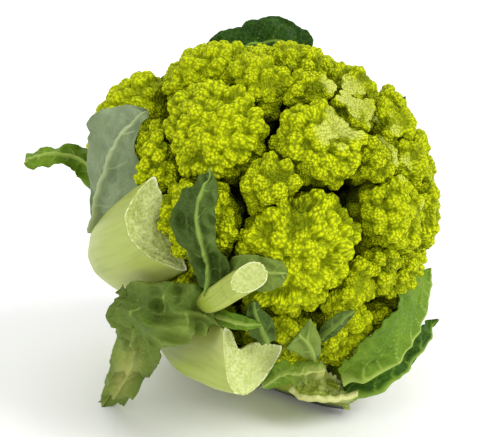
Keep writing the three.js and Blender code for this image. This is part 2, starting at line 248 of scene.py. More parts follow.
def makeBumpLevel():  # pushes out a round bump over each of a scatter of evenly spaced points
    group = bpy.data.node_groups.new("bumpLevel", "GeometryNodeTree")
    face = group.interface
    face.new_socket("Geometry", in_out="OUTPUT", socket_type="NodeSocketGeometry")
    for label, kind in (("Geometry", "NodeSocketGeometry"), ("Spacing", "NodeSocketFloat"),
                        ("Height", "NodeSocketFloat"), ("Sink", "NodeSocketFloat"),
                        ("Seed", "NodeSocketInt"), ("Attribute", "NodeSocketString")):
        face.new_socket(label, in_out="INPUT", socket_type=kind)
    ins = group.nodes.new("NodeGroupInput").outputs
    out = group.nodes.new("NodeGroupOutput")
    scatter = wire(group, "GeometryNodeDistributePointsOnFaces",
                   (("Mesh", ins["Geometry"]), ("Distance Min", ins["Spacing"]), ("Seed", ins["Seed"]),
                    ("Density Max", 1e7)), distribute_method="POISSON")
    near = wire(group, "GeometryNodeProximity", ((0, scatter.outputs["Points"]),), target_element="POINTS")
    reach = calc(group, "DIVIDE", near.outputs["Distance"], ins["Spacing"])
    reach = calc(group, "MULTIPLY", reach, curd["slope"])
    reach = calc(group, "MINIMUM", reach, curd["deepest"])
    dome = calc(group, "SQRT", calc(group, "SUBTRACT", 1.0, calc(group, "MULTIPLY", reach, reach)))
    lift = calc(group, "MULTIPLY", calc(group, "SUBTRACT", dome, ins["Sink"]), ins["Height"])
    normal = wire(group, "GeometryNodeInputNormal").outputs[0]
    push = wire(group, "ShaderNodeVectorMath", ((0, normal), ("Scale", lift)), operation="SCALE")
    moved = wire(group, "GeometryNodeSetPosition",
                 (("Geometry", ins["Geometry"]), ("Offset", push.outputs[0])))
    kept = wire(group, "GeometryNodeStoreNamedAttribute",
                (("Geometry", moved.outputs[0]), ("Name", ins["Attribute"]), ("Value", dome)),
                data_type="FLOAT", domain="POINT")
    group.links.new(kept.outputs[0], out.inputs[0])
    return group


bumpLevel = makeBumpLevel()


def makeCurdMaterial():
    material, tree, shader = newMaterial("curd", 0.7)
    lobe, cluster, granule = (attribute(tree, level[0]) for level in curd["levels"])
    where = wire(tree, "ShaderNodeCombineXYZ",
                 ((0, attribute(tree, "beadX")), (1, attribute(tree, "beadY"))))
    cells = wire(tree, "ShaderNodeTexVoronoi",
                 (("Vector", where.outputs[0]), ("Scale", curd["beadsPerMm"]), ("Randomness", 0.85)),
                 voronoi_dimensions="2D")
    bead = remap(tree, cells.outputs["Distance"], 0.78, 0.05)
    # painted shade in the gaps between granules, with the body colour on their tops
    colour = mixColour(tree, remap(tree, bead, 0.0, 0.42), curd["seamShade"], curd["body"])
    # painted highlight: the bright colour on the granule tops atop each cluster
    crestHighlight = calc(tree, "MULTIPLY", remap(tree, bead, 0.3, 0.95), remap(tree, cluster, 0.65, 0.97))
    colour = mixColour(tree, crestHighlight, colour, curd["bright"])
    # painted shade: the groove colour darkens the hollows between lobes, clusters and granules
    hollow = calc(tree, "MULTIPLY", remap(tree, cluster, 0.52, 0.86, 0.1, 1.0),
                  remap(tree, lobe, 0.5, 0.86, 0.15, 1.0))
    hollow = calc(tree, "MULTIPLY", hollow, remap(tree, granule, 0.5, 0.85, 0.6, 1.0))
    colour = mixColour(tree, remap(tree, hollow, 1.0, 0.0, 0.0, 0.85), colour, curd["groove"])
    # painted shade: the deep colour darkens the curd deep down between the florets
    colour = mixColour(tree, remap(tree, attribute(tree, "depth"), 1.0, 0.0), colour, curd["deep"])
    worn = calc(tree, "MULTIPLY", attribute(tree, "rubbed"), remap(tree, bead, 0.0, 0.4, 0.25, 0.95))
    colour = mixColour(tree, worn, colour, curd["rubbed"])
    colour = useGroup(tree, mottle, (("Color", colour), ("Other", curd["body"]),
                                     ("Scale", 30.0), ("Amount", 0.3)))
    colour = useGroup(tree, spots, (("Color", colour), ("Spot", curd["brown"]),
                                    ("Scale", 34.0), ("Size", 0.045)))
    tree.links.new(colour, shader.inputs["Base Color"])
    beads = wire(tree, "ShaderNodeBump",
                 (("Strength", 0.8), ("Distance", curd["beadDepth"]), ("Height", bead)))
    fine = useGroup(tree, grain, (("Scale", 1400.0), ("Depth", 0.2), ("Normal", beads.outputs[0])))
    tree.links.new(fine, shader.inputs["Normal"])
    shader.inputs["Specular IOR Level"].default_value = 0.08
    return material


def only(piece):  # the one selected and active object
    bpy.ops.object.select_all(action="DESELECT")
    piece.select_set(True)
    bpy.context.view_layer.objects.active = piece


def applyModifier(piece, kind, name="", **settings):
    modifier = piece.modifiers.new(name or kind.lower(), kind)
    for key, value in settings.items():
        setattr(modifier, key, value)
    only(piece)
    bpy.ops.object.modifier_apply(modifier=modifier.name)


def copyNode(name):  # a cleaned copy of a CAD node
    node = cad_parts[name]
    piece = bpy.data.objects.new(name + "_look", node.data.copy())
    bpy.context.collection.objects.link(piece)
    only(piece)
    bpy.ops.object.mode_set(mode="EDIT")
    bpy.ops.mesh.select_all(action="SELECT")
    bpy.ops.mesh.remove_doubles(threshold=1e-6)
    bpy.ops.object.mode_set(mode="OBJECT")
    piece.data.materials.clear()
    return piece


def finishPiece(piece, node, materials):
    for material in materials:
        piece.data.materials.append(material)
    only(piece)
    bpy.ops.object.shade_smooth()
    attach(piece, "root")
    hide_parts(node)


def points(piece):
    flat = np.empty(len(piece.data.vertices) * 3)
    piece.data.vertices.foreach_get("co", flat)
    return flat.reshape(-1, 3)


def storeValue(piece, name, values):
    piece.data.attributes.new(name, "FLOAT", "POINT").data.foreach_set("value", values)


def unit(vectors):
    return vectors / np.linalg.norm(vectors, axis=-1, keepdims=True)


def smoothStep(value, low, high):
    t = np.clip((value - low) / (high - low), 0, 1)
    return t * t * (3 - 2 * t)


def movePoints(piece, fromHead):
    piece.data.vertices.foreach_set("co", (fromHead + np.array(head)).ravel())
    piece.data.update()


def swell(piece):  # lifts the shoulders of a floret towards its top
    away = points(piece) - head
    far = np.linalg.norm(away, axis=1)
    lift = (far.max() - far) * curd["fullness"] * smoothStep(far, *curd["shoulder"])
    movePoints(piece, away * (1 + lift / far)[:, None])


def pressUnder(piece, blades):  # keeps the curd below the leaves that lie on it
    tree, spots, outs = blades
    moved = points(piece) - head
    margin = 6 * mm
    low, high = spots.min(axis=0) - margin, spots.max(axis=0) + margin
    for index in np.flatnonzero(((moved > low) & (moved < high)).all(axis=1)):
        _, hit, gap = tree.find(moved[index])
        if gap < curd["leafReach"]:
            over = (moved[index] - spots[hit]) @ outs[hit] + curd["underLeaf"]
            moved[index] -= outs[hit] * max(0, over)
    movePoints(piece, moved)


def rub(piece):  # wears flat the granules that stand highest in a few places
    away = points(piece) - head
    worn = np.zeros(len(away))
    for middle, reach, share in curd["rubs"]:
        middle = np.array(middle) * mm
        way = middle / np.linalg.norm(middle)
        aside = np.linalg.norm(np.cross(away, way), axis=1) / (reach * mm)
        height = away @ way
        near = (aside < 1) & (height > curd["rubFrom"])
        if near.sum() < 200:
            continue
        level = np.percentile(height[near], share) + aside**2 * 2 * mm
        over = np.where(near, np.clip(height - level, 0, None), 0)
        away = away - way * over[:, None]
        worn = np.maximum(worn, smoothStep(over, 0, curd["rubDepth"]) * (1 - aside**3).clip(0))
    movePoints(piece, away)
    storeValue(piece, "rubbed", worn)


def spreadBeads(piece, seed):  # lays out the fine beads evenly, from the top of the floret outwards
    fromHead = points(piece) - head
    far = np.linalg.norm(fromHead, axis=1)
    middle = fromHead[far > 62 * mm].mean(axis=0)
    axis = middle / np.linalg.norm(middle)
    first = unit(np.cross(axis, (0, 0, 1)))
    offset = fromHead - middle + axis * 12 * mm
    across, along = offset @ first, offset @ np.cross(axis, first)
    reach = np.hypot(across, along) + 1e-9
    stretch = np.arctan2(reach, offset @ axis) / reach * curd["beadSpread"]
    storeValue(piece, "beadX", across * stretch + seed * curd["beadShift"])
    storeValue(piece, "beadY", along * stretch)


def growBumps(piece, seed, sockets):
    for number, (name, spacing, height, sink) in enumerate(curd["levels"]):
        modifier = piece.modifiers.new(name, "NODES")
        modifier.node_group = bumpLevel
        for label, value in (("Spacing", spacing), ("Height", height), ("Sink", sink),
                             ("Seed", seed * 7 + number), ("Attribute", name)):
            modifier[sockets[label]] = value
        bpy.ops.object.modifier_apply(modifier=name)


def makeFloret(node, seed, material, sockets, blades):
    piece = copyNode(node)
    applyModifier(piece, "REMESH", mode="VOXEL", voxel_size=curd["voxel"])
    applyModifier(piece, "SMOOTH", factor=0.5, iterations=curd["smoothing"])
    faces = piece.data.polygons
    middle = np.array([face.center for face in faces]) - head
    normal = np.array([face.normal for face in faces])
    far = np.linalg.norm(middle, axis=1)
    outside = (far > curd["core"]) & ((middle * normal).sum(axis=1) > 0.05 * far)
    bpy.ops.object.mode_set(mode="EDIT")
    bpy.ops.mesh.select_mode(type="FACE")
    bpy.ops.mesh.select_all(action="DESELECT")
    bpy.ops.object.mode_set(mode="OBJECT")
    faces.foreach_set("select", outside)
    bpy.ops.object.mode_set(mode="EDIT")
    bpy.ops.mesh.subdivide(number_cuts=curd["cuts"])
    bpy.ops.object.mode_set(mode="OBJECT")
    swell(piece)
    growBumps(piece, seed, sockets)
    pressUnder(piece, blades)
    rub(piece)
    spreadBeads(piece, seed)
    # how far out each point lies, for the painted shade deep between the florets
    far = np.linalg.norm(points(piece) - head, axis=1)
    storeValue(piece, "depth", smoothStep(far, *curd["shaded"]))
    finishPiece(piece, node, [material])


def makeCurd(blades):
    material = makeCurdMaterial()
    sockets = {item.name: item.identifier for item in bumpLevel.interface.items_tree
               if item.in_out == "INPUT"}
    for seed, node in enumerate(sorted(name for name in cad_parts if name.startswith("floret"))):
        makeFloret(node, seed, material, sockets, blades)


# Paths and half widths are in millimetres from the head's centre, from the stem to the tip.
stalks = {
    "left_stalk": {
        "path": [[-60, 34, -57], [-75, -1, -28], [-71, -30, -9], [-61, -50, 3], [-50, -63, 13]],
        "outward": [[-0.81, 0.12, -0.58], [-0.99, 0.13, -0.05], [-0.96, -0.26, 0.02],
            [-0.84, -0.54, 0.01], [-0.76, -0.65, -0.03]],
        "left": [13, 15.5, 18.5, 19, 18], "right": [13, 14.5, 22.5, 24.5, 24],
        "thick": [15, 17, 19, 21, 21], "edge": 5, "bend": 0.15, "tilt": (-0.05, -0.1),
        "slot": (-0.3, 0.6, 4), "relief": 1.1,
    },
    "lower_stalk": {
        "path": [[-58, 32, -62], [-47, -23, -53], [-35, -50, -51], [-21, -70, -47], [-12, -83, -41]],
        "outward": [[-0.51, -0.3, -0.81], [-0.76, -0.41, -0.51], [-0.65, -0.52, -0.55],
            [-0.63, -0.6, -0.5], [-0.25, -0.55, -0.8]],
        "left": [12, 12.5, 13, 14, 13], "right": [12, 11.5, 12.5, 13, 18],
        "thick": [13, 16, 20, 23, 24], "edge": 7, "bend": 0.5, "tilt": (0, 0.1),
        "notch": (-0.25, 0.3, 6), "relief": 0.5,
    },
    "table_stalk": {
        "path": [[-46, 40, -83], [-18, 16, -84], [6, -10, -82], [26, -28, -79], [37, -36, -79]],
        "outward": [[0, 0, -1], [0, 0, -1], [0, 0, -1], [0.05, -0.05, -1], [0.1, -0.1, -0.99]],
        "left": [9, 13, 15, 15, 12], "right": [9, 13, 15, 15, 12], "thick": [10, 13, 16, 20, 17],
        "edge": 5, "bend": 0.25, "notch": (0, 0.6, 5), "relief": 1.5, "ragged": 1.2, "skin": "olive",
    },
    "small_stalk": {
        "path": [[-41, -36, -37], [-26, -79, -16], [-16, -86, -7], [-7, -92, 1]],
        "outward": [[-0.62, -0.55, -0.56], [-0.72, -0.58, -0.38], [-0.56, -0.83, -0.03],
            [-0.53, -0.85, 0]],
        "left": [4.5, 5, 5.4, 5.4], "right": [4.5, 5, 5.4, 5.4], "thick": [7, 8, 8.5, 8.5], "edge": 8,
        "bend": 0.12, "tilt": (0, -1.5), "relief": 0.08, "sharp": 2.2,
    },
    "right_back_stalk": {
        "path": [[-46, 44, -66], [-16, 54, -80], [20, 50, -84], [44, 40, -80], [60, 32, -68]],
        "outward": [[0, 0.29, -0.96], [0.12, 0.29, -0.95], [0.24, 0.29, -0.92], [0.37, 0.29, -0.88],
            [0.47, 0.28, -0.84]],
        "left": [9, 13, 16, 16, 15], "right": [9, 13, 16, 16, 15], "thick": [11, 13, 15, 15, 14],
        "edge": 4, "bend": 0.4, "notch": (0.1, 0.3, 4), "relief": 0.5,
    },
    "upper_left_stalk": {
        "path": [[-60, 42, -48], [-72, 46, -32], [-78, 50, -16], [-77, 52, -4]],
        "outward": [[-0.69, 0.48, -0.55], [-0.79, 0.5, -0.35], [-0.83, 0.53, -0.17],
            [-0.83, 0.56, -0.04]],
        "left": [8, 12, 14, 13], "right": [8, 12, 14, 13], "thick": [10, 13, 14, 12], "edge": 4,
        "bend": 0.4, "notch": (-0.1, 0.3, 3), "relief": 0.5,
    },
}

leaves = {
    "top_leaf": {
        "path": [[-58, 56, -52], [-68, 70, -20], [-62, 72, 18], [-37, 58, 51], [-20, 58, 61],
            [0, 56, 68], [15, 51, 67], [21, 46, 63]],
        "outward": [[-0.6, 0.58, -0.54], [-0.5, 0.85, -0.15], [-0.2, 0.97, 0.1], [0.52, 0.81, -0.25],
            [0.31, 0.79, -0.53], [0.24, 0.8, -0.55], [0.21, 0.75, -0.63], [0.45, 0.78, -0.43]],
        "left": [6, 14, 18, 14, 16.5, 18, 12.5, 2], "right": [6, 14, 18, 7.5, 11.5, 12.5, 9.5, 2],
        "thick": [10, 8, 6, 4, 4, 4, 3, 2], "bend": 0.2, "crumple": 1.2, "lift": 0,
        "ruffle": (2.4, 0.05), "serrate": 0.05, "veinEvery": 13, "look": "shadedDark", "across": 48,
        "steps": 120,
    },
    "back_leaf": {
        "path": [[-40, 60, -46], [-4, 92, -24], [36, 86, 4], [58, 62, 28], [66, 37, 43]],
        "outward": [[-0.47, 0.7, -0.54], [-0.04, 0.97, -0.25], [0.39, 0.92, 0.04], [0.65, 0.69, 0.31],
            [0.76, 0.43, 0.49]],
        "left": [7, 17, 17, 9, 1], "right": [7, 17, 17, 7, 1], "thick": [9, 7, 5, 3, 2], "bend": 0.5,
        "ruffle": (2.2, 0.05), "serrate": 0.06, "veinEvery": 12, "look": "shadedDark", "across": 36,
        "steps": 90,
    },
    "left_leaf": {
        "path": [[-79, -30, -3], [-76, -32, 11], [-71, -32, 23], [-66, -34, 34], [-62, -34, 42],
            [-57, -33, 48], [-53, -31, 52]],
        "outward": [[-0.78, -0.61, 0.11], [-0.71, -0.69, 0.16], [-0.62, -0.76, 0.18],
            [-0.6, -0.76, 0.25], [-0.48, -0.79, 0.38], [-0.29, -0.85, 0.44], [0, -0.95, 0.31]],
        "left": [5.5, 8.5, 15, 21, 19, 12, 1.5], "right": [5, 10.5, 18.5, 14, 7, 3.5, 1.5],
        "thick": [6, 5, 4, 4, 3, 3, 2], "bend": 0.15, "crumple": 1, "lift": 3.5, "ruffle": (2.2, 0.05),
        "serrate": 0.03, "veinEvery": 17, "look": "grey", "across": 56, "steps": 90,
    },
    "curled_leaf": {
        "path": [[-79, 1, 4], [-84, 2, 18], [-91, 1, 23], [-99, 0, 23], [-107, -1, 22], [-113, -2, 20]],
        "outward": [[-0.42, -0.9, -0.13], [0.31, -0.94, 0.17], [0.26, -0.79, 0.56], [0.06, -0.68, 0.73],
            [-0.09, -0.64, 0.77], [-0.16, -0.76, 0.62]],
        "left": [3.5, 7, 6, 4.5, 5, 3], "right": [3.5, 8, 6.5, 5.5, 6.5, 5],
        "thick": [4, 4, 3.5, 3, 3, 2], "bend": 0.4, "crumple": 1.6, "ruffle": (1.6, 0.09),
        "serrate": 0.1, "veinEvery": 7, "look": "bright", "across": 32, "steps": 80,
    },
    "inner_leaf": {
        "path": [[-27, -79, -16], [-27, -81, -2], [-28, -81, 9], [-30, -78, 20], [-27, -73, 28],
            [-24, -67, 34]],
        "outward": [[-0.34, -0.92, -0.19], [-0.16, -0.98, -0.1], [-0.22, -0.96, 0.15],
            [-0.25, -0.88, 0.4], [-0.23, -0.73, 0.64], [-0.37, -0.57, 0.73]],
        "left": [2.5, 7, 8.5, 12.5, 7.5, 2], "right": [2.5, 9.5, 6, 7.5, 5.5, 1],
        "thick": [6, 5, 4, 4, 3, 2], "bend": 0.15, "crumple": 1.8, "crease": 1.4, "ruffle": (1.6, 0.06),
        "serrate": 0.05, "veinEvery": 13, "look": "deep", "across": 40, "steps": 80,
    },
    "draped_leaf": {
        "path": [[-23, -78, -26], [-31, -80, -21], [-41, -80, -21], [-52, -76, -20], [-63, -64, -22]],
        "outward": [[0.31, -0.95, 0.03], [0.24, -0.87, 0.43], [-0.17, -0.88, 0.44], [-0.56, -0.73, 0.4],
            [-0.65, -0.56, 0.52]],
        "left": [5.5, 10, 14, 13.5, 9], "right": [4.5, 10.5, 13, 11, 8], "thick": [5, 5, 4, 4, 4],
        "bend": 0.2, "crumple": 4, "crease": 2.2, "midrib": 0.15, "slope": 0.15, "ruffle": (2.2, 0.06),
        "serrate": 0.04, "veinEvery": 18, "look": "green", "across": 44, "steps": 70,
        "fold": {
            "path": [[-55, -71, -18], [-57, -70, -29], [-57, -64, -43], [-63, -49, -62],
                [-71, -34, -79], [-79, -21, -91]],
            "outward": [[-0.56, -0.83, 0.03], [-0.55, -0.81, -0.18], [-0.39, -0.8, -0.45],
                [-0.3, -0.78, -0.55], [-0.36, -0.76, -0.53], [-0.44, -0.75, -0.49]],
            "left": [8.5, 11.5, 11, 8.5, 6.5, 3], "right": [12.5, 14.5, 11.5, 9.5, 5.5, 1.5],
            "thick": [4, 4, 4, 3.5, 3, 2.5], "bend": 0.2, "crumple": 2.4, "crease": 1.6, "midrib": 0.5,
            "stain": (0.1, 0.6, 0.45, 0.2), "ruffle": (2.4, 0.05), "serrate": 0.05, "veinEvery": 12,
            "look": "green", "across": 44, "steps": 90,
        },
    },
    "collar_leaf": {
        "path": [[-23, -73, -12], [-14, -79, -3], [-4, -83, -2], [5, -82, -3]],
        "outward": [[-0.58, -0.8, 0.14], [-0.5, -0.84, 0.21], [-0.16, -0.94, 0.3], [0.13, -0.9, 0.43]],
        "left": [4, 6.5, 6.5, 4], "right": [4, 6.5, 8, 4], "thick": [4, 4, 3, 2.5], "bend": 0.3,
        "ruffle": (1.2, 0.06), "serrate": 0.02, "veinEvery": 9, "look": "green", "across": 34,
        "steps": 60,
    },
    "right_leaf": {
        "path": [[32, -49, -66], [46, -51, -61], [58, -44, -52], [66, -33, -43], [70, -22, -35],
            [72, -13, -27]],
        "outward": [[0.1, -0.8, -0.59], [0.38, -0.83, -0.4], [0.73, -0.67, -0.14], [0.85, -0.52, 0.07],
            [0.89, -0.41, 0.21], [0.74, -0.51, 0.45]],
        "left": [6, 19.5, 24.5, 23, 16, 1.5], "right": [1, 5, 5, 5, 2.5, 1.5],
        "thick": [6, 5, 4, 4, 3, 2], "bend": 0.2, "crumple": 0.9, "ruffle": (1.2, 0.07),
        "serrate": 0.05, "veinEvery": 8, "look": "bright", "across": 50, "steps": 110,
    },
    "outer_right_leaf": {
        "path": [[35, -44, -77], [48, -44, -72], [58, -38, -66], [66, -30, -60], [73, -22, -54],
            [77, -17, -51]],
        "outward": [[0.12, -0.92, -0.37], [0.34, -0.9, -0.27], [0.63, -0.77, -0.07],
            [0.74, -0.67, 0.01], [0.75, -0.65, 0.1], [0.58, -0.66, 0.48]],
        "left": [6, 11, 12.5, 11.5, 5.5, 1.5], "right": [4, 5, 5, 5, 3, 1], "thick": [5, 5, 4, 4, 3, 2],
        "bend": 0.2, "crumple": 1.4, "ruffle": (1.6, 0.06), "serrate": 0.06, "veinEvery": 9,
        "look": "shadedDark", "across": 40, "steps": 90,
    },
    "small_leaf": {
        "path": [[18, -76, -46], [16, -79, -39], [13, -80, -34], [9, -80, -30]],
        "outward": [[0, -0.92, -0.39], [0.25, -0.95, -0.17], [0.24, -0.92, 0.32], [0.16, -0.85, 0.5]],
        "left": [1, 3.5, 6, 8], "right": [1, 4.5, 7.5, 9.5], "thick": [3, 3, 2.5, 2], "rounding": 0.03,
        "bend": 0.2, "ruffle": (0.6, 0.08), "serrate": 0.03, "veinEvery": 8, "look": "green",
        "across": 26, "steps": 46,
    },
    "pointed_leaf": {
        "path": [[20, -75, -35], [24, -75, -30], [29, -73, -26], [34, -69, -25]],
        "outward": [[-0.24, -0.96, 0.12], [0.03, -0.98, 0.17], [0.31, -0.86, 0.4], [0.25, -0.63, 0.74]],
        "left": [2, 3.4, 2.6, 0.3], "right": [2, 3.4, 2.8, 0.4], "thick": [3, 3, 2.5, 2], "bend": 0.2,
        "ruffle": (0.5, 0.08), "serrate": 0.03, "veinEvery": 6, "look": "deep", "across": 24,
        "steps": 46,
    },
    "torn_leaf": {
        "path": [[-4, -68, -60], [5, -75, -50], [13, -76, -48], [22, -76, -47]],
        "outward": [[-0.63, -0.77, -0.03], [-0.37, -0.92, -0.13], [-0.07, -1, 0], [0.01, -0.99, 0.14]],
        "left": [2.5, 5, 4.5, 2.5], "right": [2.5, 6, 6, 3.5], "thick": [3, 3, 2.5, 2], "bend": 0.2,
        "crumple": 1.5, "ruffle": (1, 0.09), "serrate": 0.15, "veinEvery": 7, "look": "bright",
        "across": 28, "steps": 60, "stain": (0.2, 0.9, 0.8, 0.3), "crease": 1.5,
    },
    "short_leaf": {
        "path": [[-28, -71, -25], [-19, -78, -24], [-11, -82, -24], [-4, -84, -24]],
        "outward": [[-0.62, -0.75, 0.24], [-0.55, -0.83, 0.06], [-0.38, -0.93, 0], [-0.26, -0.9, 0.36]],
        "left": [3, 3.5, 3, 1], "right": [3, 3.5, 3, 1], "thick": [3, 3, 2.5, 2], "bend": 0.2,
        "ruffle": (0.5, 0.08), "serrate": 0.03, "veinEvery": 8, "look": "bright", "across": 24,
        "steps": 44,
    },
    "bract_leaf": {
        "path": [[-2, -81, -34], [-5, -82, -27], [-8, -81, -20], [-8, -79, -16]],
        "outward": [[0.06, -0.98, -0.21], [0.2, -0.98, 0.03], [0.14, -0.93, 0.33], [0, -0.86, 0.51]],
        "left": [3, 5.5, 3.5, 1], "right": [4, 6, 4, 1.5], "thick": [3, 3, 3, 2], "bend": 0.2,
        "ruffle": (0.6, 0.08), "serrate": 0.03, "veinEvery": 8, "look": "deep", "across": 24,
        "steps": 46,
    },
}
blade = {  # in millimetres; a leaf's own entry overrides lift, crease, crumple and rounding
    "thickness": 0.8, "rib": 0.16, "sharp": 6, "lift": 2.6, "crease": 0.6, "crumple": 0.6, "rounding": 0.1,
    "toothEvery": 4.5, "relief": 0.5,
}
stalkMesh = {"across": 44, "steps": 56, "through": 18, "sharp": 3.2, "lift": 2.0, "lumps": 0.018}


def smooth(rows, t):  # a smooth curve through the rows, each an equal share of t
    rows = np.asarray(rows, float)
    padded = np.vstack([2 * rows[:1] - rows[1:2], rows, 2 * rows[-1:] - rows[-2:-1]])
    along = np.clip(t, 0, 1) * (len(rows) - 1)
    i = np.minimum(along.astype(int), len(rows) - 2)
    f = (along - i)[:, None]
    a, b, c, d = padded[i], padded[i + 1], padded[i + 2], padded[i + 3]
    curve = (2 * a - 5 * b + 4 * c - d) * f**2 + (3 * b - a - 3 * c + d) * f**3
    return 0.5 * (2 * b + (c - a) * f + curve)


def ripple(x, y, seed):  # a smooth random height, about -1 to 1
    waves = np.random.default_rng(seed)
    total = np.zeros_like(x)
    for _ in range(6):
        turn, phase = waves.uniform(0, math.tau), waves.uniform(0, math.tau)
        pace = waves.uniform(0.6, 1.7)
        total += np.sin(math.tau * pace * (x * math.cos(turn) + y * math.sin(turn)) + phase)
    return total / 3.5


def axesAlong(spec, t):
    middle = smooth(spec["path"], t)
    before, after = (smooth(spec["path"], np.clip(t + step, 0, 1)) for step in (-0.01, 0.01))
    ahead = unit(after - before)
    out = unit(smooth(spec["outward"], t))
    side = unit(np.cross(ahead, out))
    return middle, ahead, side, np.cross(side, ahead)


def veins(spec, s, t, width, length):  # 1 on the midrib and the side veins, 0 between them
    sideways, along = np.abs(s) * width, t * length
    every = spec["veinEvery"]
    course = (along - spec.get("slope", 0.8) * sideways - 0.02 * sideways**2) / every
    course += np.where(s < 0, 0.0, 0.5)
    course += 0.18 * ripple(along / 22, sideways / 22, int(every * 7))
    away = np.abs(course - np.round(course)) * every * 0.75
    thin = 0.6 - 0.35 * np.abs(s)
    branch = 0.75 * np.exp(-(away / thin) ** 2) * (1 - np.abs(s) ** 3)
    midrib = np.exp(-(sideways / (0.5 + 1.0 * (1 - t))) ** 2)
    return np.maximum(branch, midrib * spec.get("midrib", 1))


def leafWidth(spec, s, t, width, length, seed):  # teeth and waves along the edge, and a rounded tip
    teeth = np.abs(((t * length / blade["toothEvery"]) % 1) - 0.5) * 2
    wave = ripple(t * length / 16, s * 0.4, seed)
    width = width * (1 + spec["serrate"] * (0.8 * teeth + 1.4 * wave) - spec["serrate"] * 0.4)
    rounding = spec.get("rounding", blade["rounding"])
    tip = np.clip((t - 1 + rounding) / rounding, 0, 1)
    return width * np.sqrt(np.clip(1 - tip**2, 0.01, 1))


def leafRelief(spec, s, t, width, length, vein, seed):  # ruffles, veins, creases and folds
    high, pace = spec["ruffle"]
    lift = spec.get("lift", blade["lift"]) * smoothStep(t, 0.1, 0.4)
    lift += high * np.abs(s) ** 1.6 * ripple(t * length * pace, s * 0.5, seed + 3)
    puckers = ripple(t * length / 7, s * width / 7, seed + 5) * (1 - vein)
    lift += blade["relief"] * (vein - 0.4) + blade["relief"] * puckers
    crease = np.abs(ripple(t * length / 13, s * width / 13, seed + 11))
    lift += spec.get("crease", blade["crease"]) * (0.4 - crease) * 2
    fold = np.abs(ripple(t * length / 30, s * width / 30, seed + 7))
    middleOnly = np.clip(12 * t * (1.05 - t), 0, 1)
    return lift + spec.get("crumple", blade["crumple"]) * (0.5 - fold) * 2 * middleOnly


def stalkRelief(spec, s, t, layer, thick, seed):  # the groove on the inner side, and a few lumps
    lift = stalkMesh["lift"] * smoothStep(t, 0.3, 0.8) * ("ragged" not in spec)
    if "notch" in spec:
        at, wide, deep = spec["notch"]
        groove = deep * np.exp(-((s - at) / wide) ** 2)
        lift += (1 - layer) * groove * (0.25 + 0.75 * smoothStep(t, 0.55, 1.0))
    lumps = ripple(s * 2.2, t * 1.3, seed) * np.clip(1 - s**2, 0, 1)
    return lift + stalkMesh["lumps"] * thick * lumps


def surface(spec, s, t, layer, seed):  # layer: 1 on the outer side, 0 on the side that faces the head
    isLeaf = "look" in spec
    middle, ahead, side, out = axesAlong(spec, t)
    left, right, thick = smooth(np.stack([spec["left"], spec["right"], spec["thick"]], axis=1), t).T
    course = smooth(spec["path"], np.linspace(0, 1, 60))
    length = np.linalg.norm(np.diff(course, axis=0), axis=1).sum()
    width = np.where(s < 0, left, right)
    edge = blade["thickness"] if isLeaf else spec["edge"]
    vein = np.zeros_like(s)
    if isLeaf:
        vein = veins(spec, s, t, width, length)
        width = leafWidth(spec, s, t, width, length, seed)
        thick = np.minimum(thick, 2 + 5 * (1 - t) ** 2)
    radius, angle = width / spec["bend"], np.abs(s) * spec["bend"]
    share = blade["rib"] if isLeaf else 1
    rib = np.clip(1 - (np.abs(s) / share) ** 2, 0, 1)
    full = edge + (np.maximum(thick, edge) - edge) * rib
    sharp = spec.get("sharp", blade["sharp"] if isLeaf else stalkMesh["sharp"])
    depth = full * np.clip(1 - np.abs(s) ** sharp, 0, 1) ** (1 / sharp)
    lift = -radius * (1 - np.cos(angle)) - np.maximum(thick, edge) / 2 + full / 2 + (layer - 0.5) * depth
    if isLeaf:
        lift += leafRelief(spec, s, t, width, length, vein, seed)
    else:
        lift += stalkRelief(spec, s, t, layer, thick, seed)
        leanSide, leanOut = spec.get("tilt", (0, 0))
        slant = leanSide * s * width + leanOut * lift
        slant += spec.get("ragged", 0) * ripple(s * 1.6, t * 0, seed)
        middle = middle + ahead * (slant * smoothStep(t, 0.55, 1.0))[:, None]
    spot = middle + side * (np.sign(s) * radius * np.sin(angle))[:, None] + out * lift[:, None]
    return spot, ahead, vein


def gridPiece(name, wide, long, rule):  # a grid whose points the rule puts in place
    bpy.ops.object.select_all(action="DESELECT")
    bpy.ops.mesh.primitive_grid_add(x_subdivisions=wide, y_subdivisions=long, size=2)
    piece = bpy.context.object
    piece.name = name
    flat = points(piece)
    places, values = rule((flat[:, 0] + 1) / 2, (flat[:, 1] + 1) / 2)
    places = np.array(head) + places * mm
    places[:, 2] = places[:, 2].clip(0)
    piece.data.vertices.foreach_set("co", places.ravel())
    for label, value in values.items():
        storeValue(piece, label, value)
    return piece


def spread(x):  # even steps, closer together near both edges
    x = x * 2 - 1
    return 0.6 * x + 0.4 * np.sin(x * math.pi / 2)


def sideRule(spec, seed):
    def rule(x, y):
        outer = x <= 0.5
        s = np.where(outer, spread(np.clip(x * 2, 0, 1)), -spread(np.clip(x * 2 - 1, 0, 1)))
        place, _, vein = surface(spec, s, y, outer * 1.0, seed)
        stain = 0 * s
        if "stain" in spec:
            at, far, wide, long = spec["stain"]
            stain = np.exp(-((s - at) / wide) ** 2 - ((y - far) / long) ** 2)
        return place, {"vein": vein, "outer": outer * 1.0, "across": s, "along": y, "stain": stain}
    return rule


def cutRule(spec, seed):
    def rule(x, y):
        s = spread(x)
        place, ahead, _ = surface(spec, s, np.ones_like(x), y, seed)
        inside = np.clip(1 - s**2, 0, 1) * 4 * y * (1 - y)
        relief = spec["relief"] * ripple(s * 7, y * 4, seed + 9) * np.clip(inside * 3, 0, 1)
        relief += 0.5 * spec["relief"] * ripple(s * 21, y * 12, seed + 10) * np.clip(inside * 3, 0, 1)
        relief -= 1.2 * spec["relief"] * np.clip(inside * 2, 0, 1)
        if "slot" in spec:
            at, high, deep = spec["slot"]
            relief -= deep * np.exp(-((s - at) / 0.25) ** 2 - ((y - high) / 0.10) ** 2)
        return place + ahead * relief[:, None], {"vein": s * 0, "outer": y, "across": s, "along": inside}
    return rule


